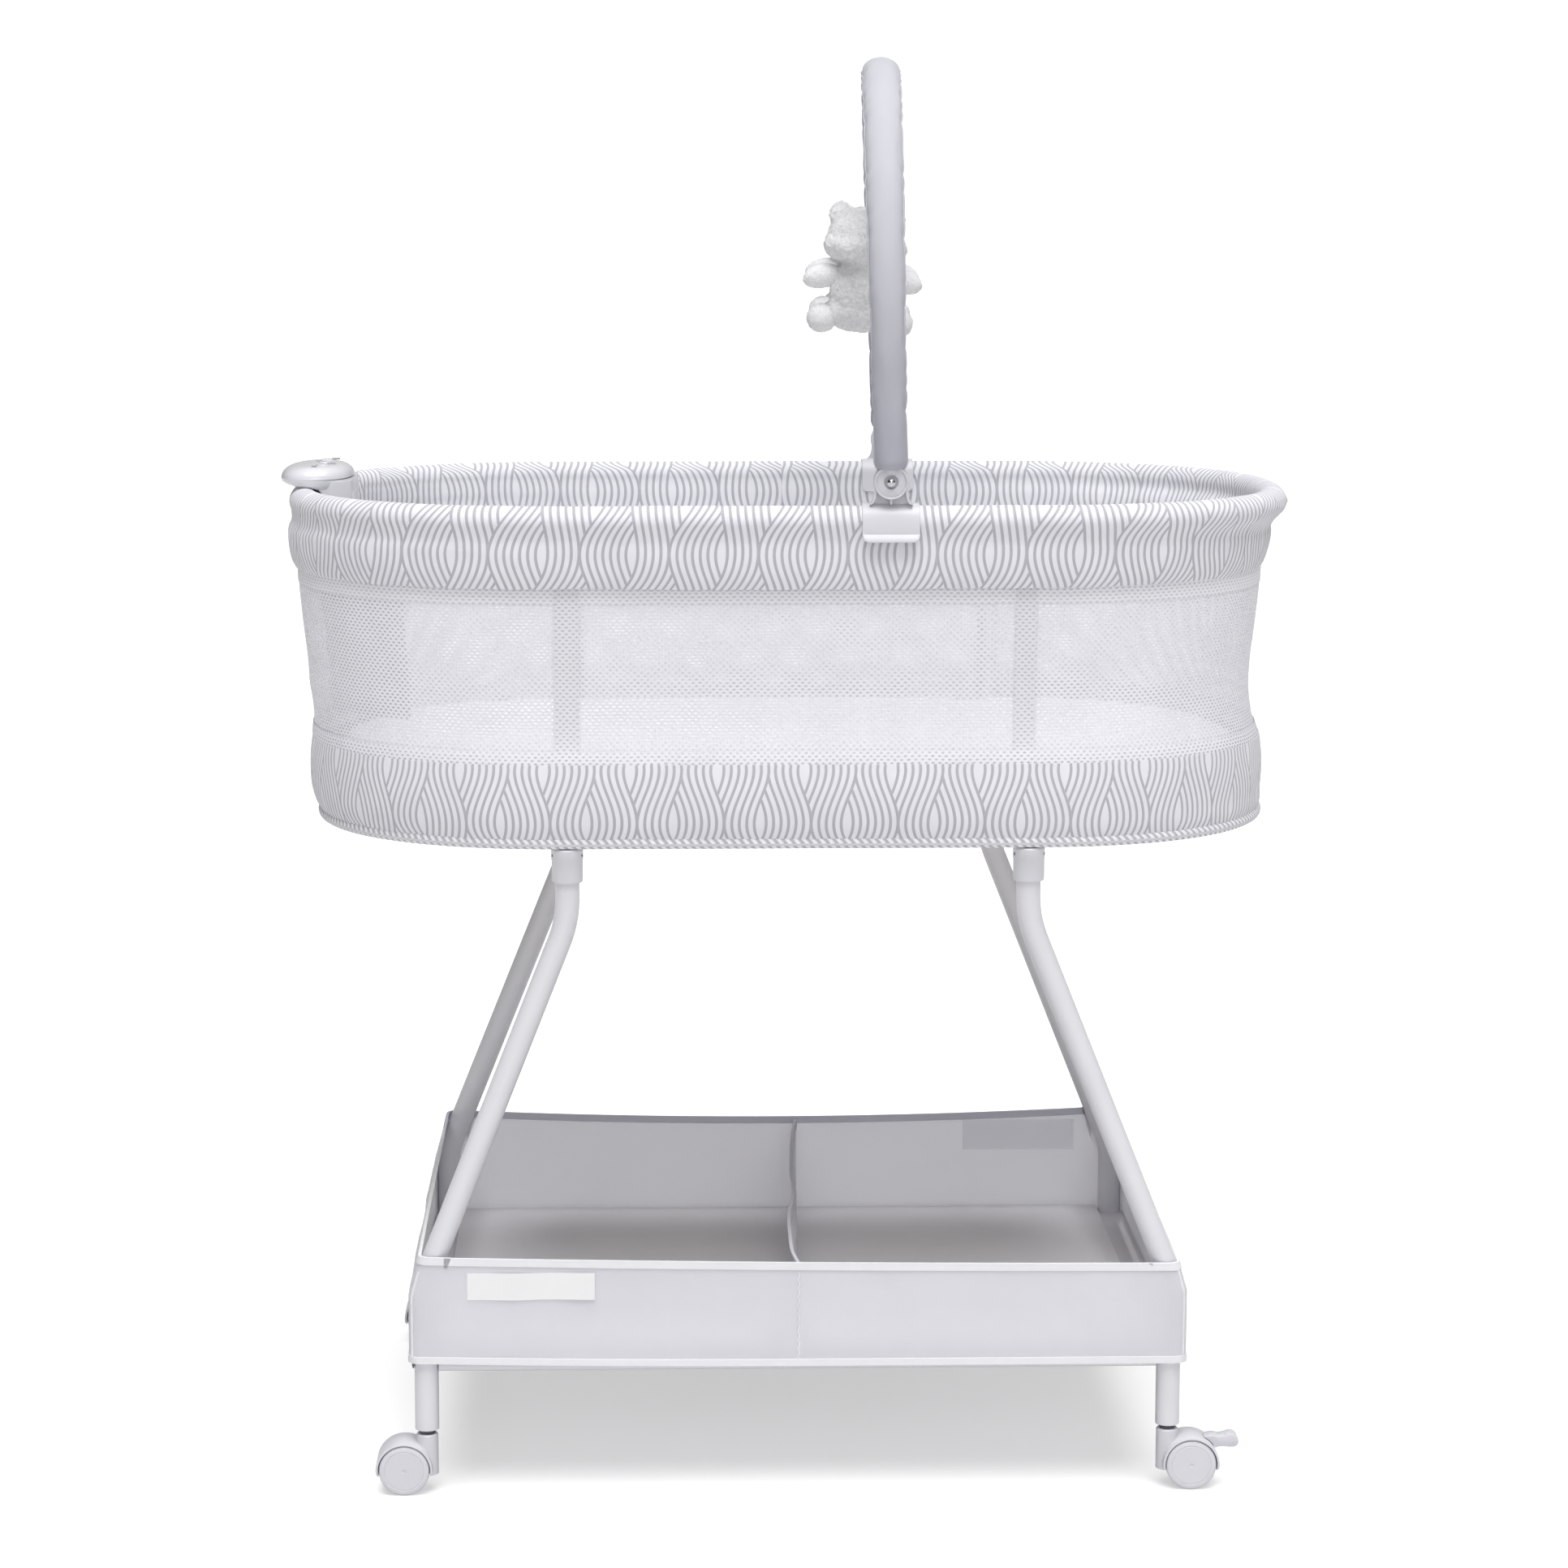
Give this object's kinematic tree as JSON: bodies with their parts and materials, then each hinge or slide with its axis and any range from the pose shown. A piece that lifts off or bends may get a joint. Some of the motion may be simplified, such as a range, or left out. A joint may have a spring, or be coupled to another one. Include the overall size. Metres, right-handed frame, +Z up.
{
  "type": "bassinet on stand",
  "caption": "Oval mesh-sided bassinet with printed rim, toy arch and music pod, on a splayed tube stand with fabric storage basket and swivel casters.",
  "frame": {"origin": "on the floor, under the middle of the basket", "axes": "+X along the basket, towards the end with the brake levers; -Y is the front; +Z up"},
  "size_m": [0.812, 0.4712, 1.1226],
  "materials": {
    "printed_fabric": "white cotton blend printed with light grey wavy stripes",
    "mesh_fabric": "white knitted breathable mesh",
    "white_steel": "white powder coat, satin",
    "white_plastic": "white moulded plastic, satin",
    "clear_plastic": "milky white moulded plastic",
    "dark_steel": "dark zinc-plated steel",
    "bright_steel": "bright plated steel",
    "grey_plastic": "grey soft-touch plastic",
    "pad_fabric": "white woven sheet and satin label",
    "sheer_fabric": "thin light grey woven polyester with white binding",
    "sleeve_fabric": "grey padded cotton",
    "plush": "white short-pile plush",
    "board": "plain fibreboard"
  },
  "bodies": {
    "stand": {"rim_cover": "printed_fabric", "lower_band": "printed_fabric", "mesh_wall": "mesh_fabric", "rim_tube_left": "white_steel", "rim_tube_right": "white_steel", "post_front_left": "white_steel", "post_front_right": "white_steel", "post_rear_left": "white_steel", "post_rear_right": "white_steel", "leg_front_left": "white_steel", "leg_front_right": "white_steel", "leg_rear_left": "white_steel", "leg_rear_right": "white_steel", "long_rail_front": "white_steel", "long_rail_rear": "white_steel", "end_rail_left": "white_steel", "end_rail_right": "white_steel", "leg_socket_front_left": "white_plastic", "leg_socket_front_right": "white_plastic", "leg_socket_rear_left": "white_plastic", "leg_socket_rear_right": "white_plastic", "arch_clip_front": "white_plastic", "arch_clip_rear": "white_plastic", "pod_base": "white_plastic", "pod_cover": "white_plastic", "battery_door": "white_plastic", "rail_screw_front_left": "dark_steel", "rail_screw_front_right": "dark_steel", "rail_screw_rear_left": "dark_steel", "rail_screw_rear_right": "dark_steel", "caster_stem_front_left": "dark_steel", "caster_stem_front_right": "dark_steel", "caster_stem_rear_left": "dark_steel", "caster_stem_rear_right": "dark_steel", "pivot_screw_front": "bright_steel", "pivot_screw_rear": "bright_steel", "mattress_pad": "pad_fabric", "storage_label": "pad_fabric", "storage_basket": "sheer_fabric", "storage_divider": "sheer_fabric", "base_board": "board", "storage_board": "board"},
    "caster_front_left": {"caster_housing_front_left": "white_plastic"},
    "wheels_front_left": {"caster_wheels_front_left": "white_plastic"},
    "caster_front_right": {"caster_housing_front_right": "white_plastic"},
    "wheels_front_right": {"caster_wheels_front_right": "white_plastic"},
    "caster_rear_left": {"caster_housing_rear_left": "white_plastic"},
    "wheels_rear_left": {"caster_wheels_rear_left": "white_plastic"},
    "caster_rear_right": {"caster_housing_rear_right": "white_plastic"},
    "wheels_rear_right": {"caster_wheels_rear_right": "white_plastic"},
    "brake_front_right": {"brake_lever_front_right": "clear_plastic"},
    "brake_rear_right": {"brake_lever_rear_right": "clear_plastic"},
    "toy_arch": {"arch_bow": "white_plastic", "arch_sleeve": "sleeve_fabric"},
    "hanging_bear_front": {"bear_front": "plush"},
    "hanging_bear_rear": {"bear_rear": "plush"},
    "button_1": {"pod_button_1": "grey_plastic"},
    "button_2": {"pod_button_2": "grey_plastic"},
    "button_3": {"pod_button_3": "grey_plastic"}
  },
  "joints": [
    {"name": "caster_swivel_front_left", "type": "hinge", "parent": "stand", "child": "caster_front_left", "pos_m": [-0.293, -0.212, 0.04], "axis": [0, 0, 1], "continuous": true},
    {"name": "wheel_spin_front_left", "type": "hinge", "parent": "caster_front_left", "child": "wheels_front_left", "pos_m": [-0.311, -0.212, 0.02], "axis": [0, 1, 0], "continuous": true},
    {"name": "caster_swivel_front_right", "type": "hinge", "parent": "stand", "child": "caster_front_right", "pos_m": [0.293, -0.212, 0.04], "axis": [0, 0, 1], "continuous": true},
    {"name": "wheel_spin_front_right", "type": "hinge", "parent": "caster_front_right", "child": "wheels_front_right", "pos_m": [0.311, -0.212, 0.02], "axis": [0, 1, 0], "continuous": true},
    {"name": "brake_press_front_right", "type": "hinge", "parent": "caster_front_right", "child": "brake_front_right", "pos_m": [0.311, -0.212, 0.02], "axis": [0, 1, 0], "range_deg": [0, 20]},
    {"name": "caster_swivel_rear_left", "type": "hinge", "parent": "stand", "child": "caster_rear_left", "pos_m": [-0.293, 0.212, 0.04], "axis": [0, 0, 1], "continuous": true},
    {"name": "wheel_spin_rear_left", "type": "hinge", "parent": "caster_rear_left", "child": "wheels_rear_left", "pos_m": [-0.311, 0.212, 0.02], "axis": [0, 1, 0], "continuous": true},
    {"name": "caster_swivel_rear_right", "type": "hinge", "parent": "stand", "child": "caster_rear_right", "pos_m": [0.293, 0.212, 0.04], "axis": [0, 0, 1], "continuous": true},
    {"name": "wheel_spin_rear_right", "type": "hinge", "parent": "caster_rear_right", "child": "wheels_rear_right", "pos_m": [0.311, 0.212, 0.02], "axis": [0, 1, 0], "continuous": true},
    {"name": "brake_press_rear_right", "type": "hinge", "parent": "caster_rear_right", "child": "brake_rear_right", "pos_m": [0.311, 0.212, 0.02], "axis": [0, 1, 0], "range_deg": [0, 20]},
    {"name": "arch_tilt", "type": "hinge", "parent": "stand", "child": "toy_arch", "pos_m": [0.0804, 0, 0.7987], "axis": [0.0511, 0.9987, 0], "range_deg": [-60, 60]},
    {"name": "bear_swing_front", "type": "hinge", "parent": "toy_arch", "child": "hanging_bear_front", "pos_m": [0.05821, -0.075, 1.0795], "axis": [0, 1, 0], "range_deg": [-60, 60]},
    {"name": "bear_swing_rear", "type": "hinge", "parent": "toy_arch", "child": "hanging_bear_rear", "pos_m": [0.06589, 0.075, 1.0795], "axis": [0, 1, 0], "range_deg": [-60, 60]},
    {"name": "button_press_1", "type": "slide", "parent": "stand", "child": "button_1", "axis": [0, 0, -1], "range_m": [0, 0.001], "stiffness_N_per_m": 300, "springref_m": -0.001},
    {"name": "button_press_2", "type": "slide", "parent": "stand", "child": "button_2", "axis": [0, 0, -1], "range_m": [0, 0.001], "stiffness_N_per_m": 300, "springref_m": -0.001},
    {"name": "button_press_3", "type": "slide", "parent": "stand", "child": "button_3", "axis": [0, 0, -1], "range_m": [0, 0.001], "stiffness_N_per_m": 300, "springref_m": -0.001}
  ]
}
